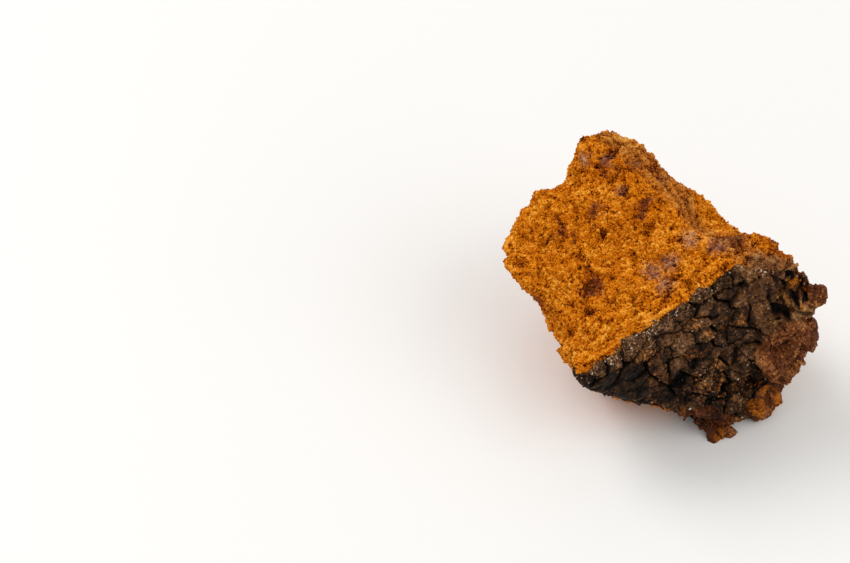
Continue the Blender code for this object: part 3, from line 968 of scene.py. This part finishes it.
def fungus_cork(name, crumb_weight):
    """Torn cork-like flesh: orange, with painted shade in its pits, mauve flecks and tan streaks."""
    material, tree, made = new_material(name, CORK_PATTERNS, ("pit", "tone", "mauve", "dark", "tan"))
    # pit darkens the pits and lightens the tops: painted shade and painted light.
    made["value"] = weigh(tree, made, 0.475, patches=0.5, blots=0.8, grains=1.0, stipple=0.8, pit=-0.5,
                          dark=-0.16, tone=crumb_weight)
    made["browner"] = weigh(tree, made, made["spots"], patches=-0.5, dark=0.26, pit=0.12)
    made["flecked"] = add(tree, "Math", {0: made["flecks"], 1: made["mauve"]}, operation="MULTIPLY")
    made["darker"] = weigh(tree, made, made["stipple"], blots=0.5, pit=-0.25)
    colour = add(tree, "ValToRGB", {"Fac": made["value"]}, stops=(
        (0.0, "481400"), (0.25, "843402"), (0.5, "bc6004"), (0.75, "e08414"), (1.0, "fcba48")))
    colour = tint(tree, made, colour, (
        ("browner", 0.50, 0.66, "3c160a", "84401c", "bc7844"),
        ("flecked", 0.22, 0.58, "4a2418", "8a563f", "c49478"),
        ("tan", 0.15, 0.8, "341a0c", "7e4f2c", "b98858"),
        ("darker", 0.45, 0.37, "200a02", "441a04", "743a10")))
    finish(tree, colour, weigh(tree, made, 0.5, grains=1.0, stipple=0.8), 0.9, 0.03)
    return material


flesh.data.materials.append(fungus_cork("torn_fungus_cork", 0.0))
loose_cork = fungus_cork("loose_fungus_cork", 0.3)
for piece in (top_crumbs, side_crumbs):
    piece.data.materials.append(loose_cork)
print("nodes in the flesh's material:", len(loose_cork.node_tree.nodes))

# %% [markdown]
# ## Weathered crust
# The crust isn't burnt, but it looks and breaks like charcoal: dried brittle by the weather, matt
# black-brown, with tiny facets. A few crumbs are painted pale grey as painted glints. Like charcoal it is
# no metal, with an IOR of 1.5. Its roughness runs from 0.4 on fresh facets to 1 in the dust, which also
# takes most of its gloss. Its patches are 9 mm wide, its blots 3 mm and its grains 0.9 mm. Its dust is
# finer than 0.1 mm, too fine to show, so the stipple for it is drawn as coarse as 0.5 mm. Over the
# black-brown lies a colour for each value that the mesh remembers, the strongest last. Some of them are
# painted light and shade: darker where the crust lies in shade, near-black in cracks and slots, golden on
# the ridges' crests and lighter on the tops of the fine ridges.

# %% The crust's material
CRUST_PATTERNS = {"patches": (9.0, 2.0), "blots": (3.0, 4.0), "grains": (0.9, 3.0), "stipple": (0.5, 1.0)}
# high, like the ridge weight in the value, lightens the tops of the fine ridges. On the torn end, where
# they stand out, this is painted light.
SHARES = (("dusty", "blots", 0.42, 0.58, "rim"), ("powdered", "grains", 0.47, 0.58, "golden"),
          ("high", "ridge", 0.35, 0.65, "torn"))  # a name, a pattern and its range, times a value


def weathered_crust(name, crumb_weight):
    """Dried, cracked crust: black-brown, with dust and bare brown breaks, and painted glints, highlights
    and shade.
    """
    material, tree, made = new_material(name, CRUST_PATTERNS, CRUST_VALUES[:-1] + ("tone",))
    # The painted shade value darkens the crust where it lies in shade.
    made["value"] = weigh(tree, made, 0.31, sooty=-0.22, by_edge=0.04, patches=0.5, blots=0.6, grains=1.4,
                          stipple=0.75, plate=0.3, tone=crumb_weight, ridge=0.3, rim=-0.12)
    # Painted glints: a few crust crumbs, more of them along the top edge, are painted pale grey as
    # highlights.
    made["painted_glint"] = weigh(tree, made, made["tone"], by_edge=0.045)
    for share, pattern, low, high, where in SHARES:
        patchy = add(tree, "MapRange", {"Value": made[pattern], "From Min": low, "From Max": high})
        made[share] = add(tree, "Math", {0: patchy, 1: made[where]}, operation="MULTIPLY")
    colour = add(tree, "ValToRGB", {"Fac": made["value"]}, stops=(
        (0.0, "120702"), (0.3, "331f0f"), (0.5, "56371f"), (0.75, "7c5739"), (1.0, "b08a66")))
    colour = tint(tree, made, colour, (
        # Painted shade: darker brown-black where the crust lies in shade.
        ("sooty", 0.0, 0.9, "070301", "291a10", "6a4c34"),
        ("dusty", 0.5, 1.3, "201004", "6a4420", "b8874c"),
        ("powdered", 0.1, 0.7, "2a1304", "7c4618", "dc9850"),
        ("torn", 0.2, 1.2, "1a0c06", "583722", "a0764c"),
        ("bare", 0.1, 0.6, "240c04", "6c3819", "c08048"),
        # Painted light: lighter tan on the tops of the fine ridges at the torn end.
        ("high", 0.1, 0.9, "2a1509", "6a4426", "b48450"),
        ("tan", 0.15, 0.7, "341a0c", "7a4c2b", "b98858"),
        # Painted highlight: golden on the crests of the placed ridges.
        ("crest", 0.3, 0.9, "3a1c06", "8c5420", "d8984c"),
        ("orange", 0.2, 0.6, "361400", "a4580a", "f0a038"),
        # Painted shade: near-black in cracks, grooves, slots and troughs, kept under the name crack.
        ("crack", 0.1, 0.6, "030100", "080402", "120a05"),
        # Painted highlight: pale grey glints on a few crumbs.
        ("painted_glint", 0.955, 0.98, "4c4238", "8c8072", "d8ccbc")))
    roughness = add(tree, "MapRange", {"Value": made["grains"], "From Min": 0.3, "From Max": 0.7,
                                       "To Min": 0.4})
    finish(tree, colour, weigh(tree, made, 0.5, grains=1.0, blots=0.5, stipple=0.5), roughness, 0.12)
    return material


crust.data.materials.append(weathered_crust("weathered_fungus_crust", 0.0))
crust_crumbs.data.materials.append(weathered_crust("loose_fungus_crust", 0.8))
print("nodes in the crust's material:", len(crust.data.materials[0].node_tree.nodes))

# %% [markdown]
# ## Floor
# The chunk stands on pale card, which is matt and nearly white. It only catches the shadow, so one colour
# is enough.

# %% Floor
bpy.ops.object.select_all(action="DESELECT")
bpy.ops.mesh.primitive_plane_add(size=4.0, location=(0.0, 0.0, 0.0))
floor = bpy.context.active_object
floor.name = "floor"
card = bpy.data.materials.new("matt_pale_card")
card.use_nodes = True
net = card.node_tree
connect(net, net.nodes["Principled BSDF"], {"Base Color": linear("f5f4f2")})
floor.data.materials.append(card)
print("floor:", [round(v, 1) for v in floor.dimensions], "m")

# %% [markdown]
# ## Light
# A large lamp behind on the left stands for a window and gives the soft shadow in front on the right. A
# weaker one fills in the crust, and a pale world does the rest. The view transform is set to Standard,
# because the default one greys strong oranges and dark browns.

# %% Lamps (place, size in metres, watts), world and view
LOOK_AT = Vector((0.0, 0.0, 0.02))
LAMPS = (("window light", (-1.33, 0.84, 1.47), 1.26, 24.2), ("fill light", (0.9, -0.6, 0.9), 1.4, 7.6))

for name, place, size, power in LAMPS:
    lamp = bpy.data.lights.new(name, "AREA")
    lamp.size, lamp.energy = size, power
    light = link(name, lamp)
    light.location = place
    light.rotation_euler = (LOOK_AT - Vector(place)).to_track_quat("-Z", "Y").to_euler()
    print(name + ":", power, "W")
world = bpy.data.worlds.new("pale room")
bpy.context.scene.world = world
world.use_nodes = True
sky = world.node_tree
connect(sky, sky.nodes["Background"], {"Color": linear("fffefc"), "Strength": 0.585})
bpy.context.scene.view_settings.view_transform = "Standard"

# %% [markdown]
# ## Camera
# The camera looks down at 45 degrees from the front, from half a metre away. Its long lens keeps the
# chunk's far side nearly as large as its near side.

# %% Camera
camera = link("camera", bpy.data.cameras.new("camera"))
camera.data.lens, camera.data.sensor_width = 85.0, 36.0
camera.location = (-0.05812, -0.35787, 0.38575)
camera.rotation_euler = (math.radians(45.0), 0.0, 0.0)
bpy.context.scene.camera = camera
print("camera:", round(camera.location.length, 2), "m away")

# %% [markdown]
# ## The end
# The dressed chunk is finished.

# %% Finish
print("done")
